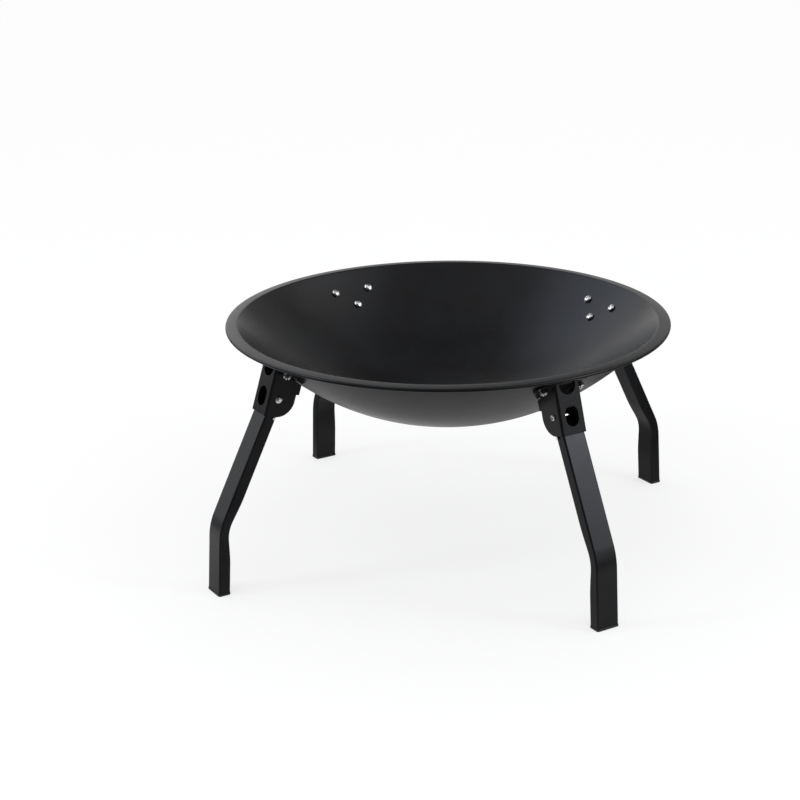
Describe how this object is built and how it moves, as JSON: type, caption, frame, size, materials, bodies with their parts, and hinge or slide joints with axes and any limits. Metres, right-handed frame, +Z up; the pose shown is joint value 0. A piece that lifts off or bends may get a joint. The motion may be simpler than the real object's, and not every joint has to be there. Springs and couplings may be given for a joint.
{
  "type": "folding fire pit",
  "caption": "Round pressed-steel fire bowl with a rolled rim on four bent tube legs that fold in under it, each pinned in a folded bracket bolted to the wall.",
  "frame": {"origin": "on the ground under the middle of the bowl, level with the soles of the unfolded legs", "axes": "+Z up along the bowl's axis; the four legs stand at 45 degrees between +X, +Y, -X and -Y"},
  "size_m": [0.55, 0.55, 0.29],
  "materials": {
    "heat_coat": "matte black heat-resistant coating on pressed steel sheet and tube",
    "zinc": "bright zinc plated steel",
    "cap_plastic": "matte black moulded plastic"
  },
  "bodies": {
    "bowl_body": {"bowl": "heat_coat", "bracket_front_right": "heat_coat", "pivot_rivet_front_right": "zinc", "bolt_left_front_right": "zinc", "nut_left_front_right": "zinc", "bolt_right_front_right": "zinc", "nut_right_front_right": "zinc", "bolt_lower_front_right": "zinc", "nut_lower_front_right": "zinc", "bracket_back_right": "heat_coat", "pivot_rivet_back_right": "zinc", "bolt_left_back_right": "zinc", "nut_left_back_right": "zinc", "bolt_right_back_right": "zinc", "nut_right_back_right": "zinc", "bolt_lower_back_right": "zinc", "nut_lower_back_right": "zinc", "bracket_back_left": "heat_coat", "pivot_rivet_back_left": "zinc", "bolt_left_back_left": "zinc", "nut_left_back_left": "zinc", "bolt_right_back_left": "zinc", "nut_right_back_left": "zinc", "bolt_lower_back_left": "zinc", "nut_lower_back_left": "zinc", "bracket_front_left": "heat_coat", "pivot_rivet_front_left": "zinc", "bolt_left_front_left": "zinc", "nut_left_front_left": "zinc", "bolt_right_front_left": "zinc", "nut_right_front_left": "zinc", "bolt_lower_front_left": "zinc", "nut_lower_front_left": "zinc"},
    "leg_front_right_body": {"leg_front_right": "heat_coat", "foot_cap_front_right": "cap_plastic", "stop_pin_front_right": "zinc"},
    "leg_back_right_body": {"leg_back_right": "heat_coat", "foot_cap_back_right": "cap_plastic", "stop_pin_back_right": "zinc"},
    "leg_back_left_body": {"leg_back_left": "heat_coat", "foot_cap_back_left": "cap_plastic", "stop_pin_back_left": "zinc"},
    "leg_front_left_body": {"leg_front_left": "heat_coat", "foot_cap_front_left": "cap_plastic", "stop_pin_front_left": "zinc"}
  },
  "joints": [
    {"name": "leg_fold_front_right", "type": "hinge", "parent": "bowl_body", "child": "leg_front_right_body", "pos_m": [0.17536, -0.17536, 0.2345], "axis": [0.7071, 0.7071, 0], "range_deg": [0, 87]},
    {"name": "leg_fold_back_right", "type": "hinge", "parent": "bowl_body", "child": "leg_back_right_body", "pos_m": [0.17536, 0.17536, 0.2345], "axis": [-0.7071, 0.7071, 0], "range_deg": [0, 87]},
    {"name": "leg_fold_back_left", "type": "hinge", "parent": "bowl_body", "child": "leg_back_left_body", "pos_m": [-0.17536, 0.17536, 0.2345], "axis": [-0.7071, -0.7071, 0], "range_deg": [0, 87]},
    {"name": "leg_fold_front_left", "type": "hinge", "parent": "bowl_body", "child": "leg_front_left_body", "pos_m": [-0.17536, -0.17536, 0.2345], "axis": [0.7071, -0.7071, 0], "range_deg": [0, 87]}
  ]
}
